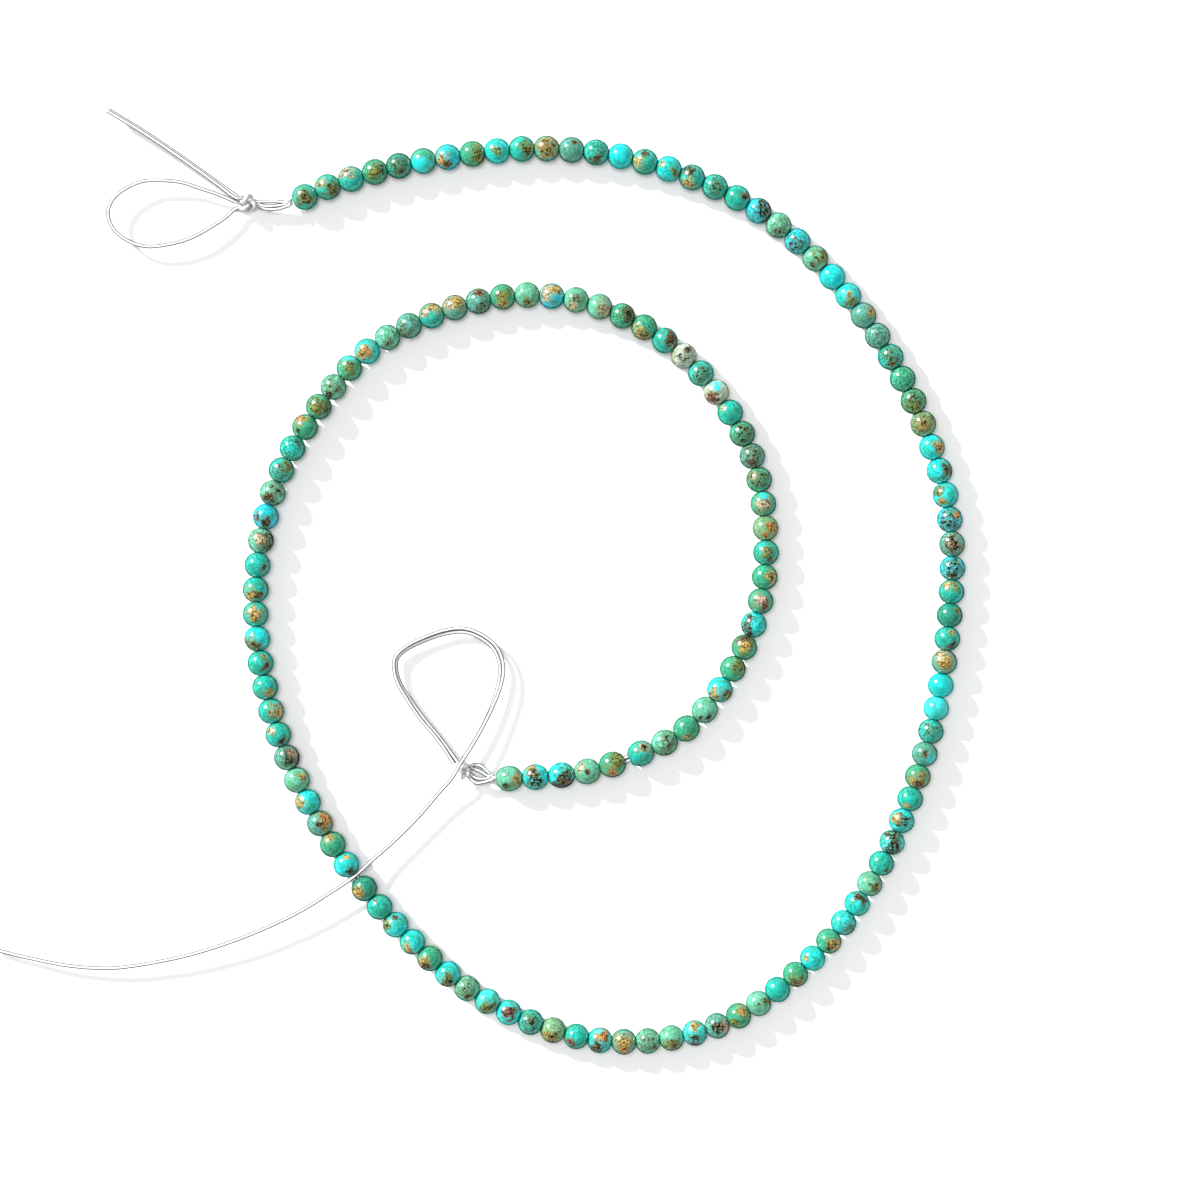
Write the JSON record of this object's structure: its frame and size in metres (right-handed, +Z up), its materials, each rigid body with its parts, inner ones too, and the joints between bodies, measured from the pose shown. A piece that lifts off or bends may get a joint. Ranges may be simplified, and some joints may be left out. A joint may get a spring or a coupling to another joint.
{
  "type": "open beaded necklace strand, laid flat, with knotted thread ends and no clasp",
  "caption": "Open strand of small round turquoise beads on clear nylon thread, lying in one and a half turns, with a knotted loop and tails at each end.",
  "frame": {"origin": "on the table, under the middle of the space that the beads cover", "axes": "+Z up from the table, +Y towards the knotted end of the outer turn, +X to its right seen from above"},
  "size_m": [0.1121, 0.1094, 0.003],
  "materials": {
    "beads": "polished",
    "thread": "gloss"
  },
  "bodies": {
    "root": {"bead_string_outer": "beads", "bead_string_inner": "beads", "outer_loop_thread": "thread", "outer_tail_thread": "thread", "outer_tail_second_thread": "thread", "inner_loop_and_tail_thread": "thread", "inner_loop_second_thread": "thread", "outer_eye_left": "thread", "outer_eye_right": "thread", "inner_eye_left": "thread", "inner_eye_right": "thread", "outer_stop_knot": "thread", "outer_loop_knot": "thread", "inner_stop_knot": "thread", "inner_loop_knot": "thread"}
  },
  "joints": []
}
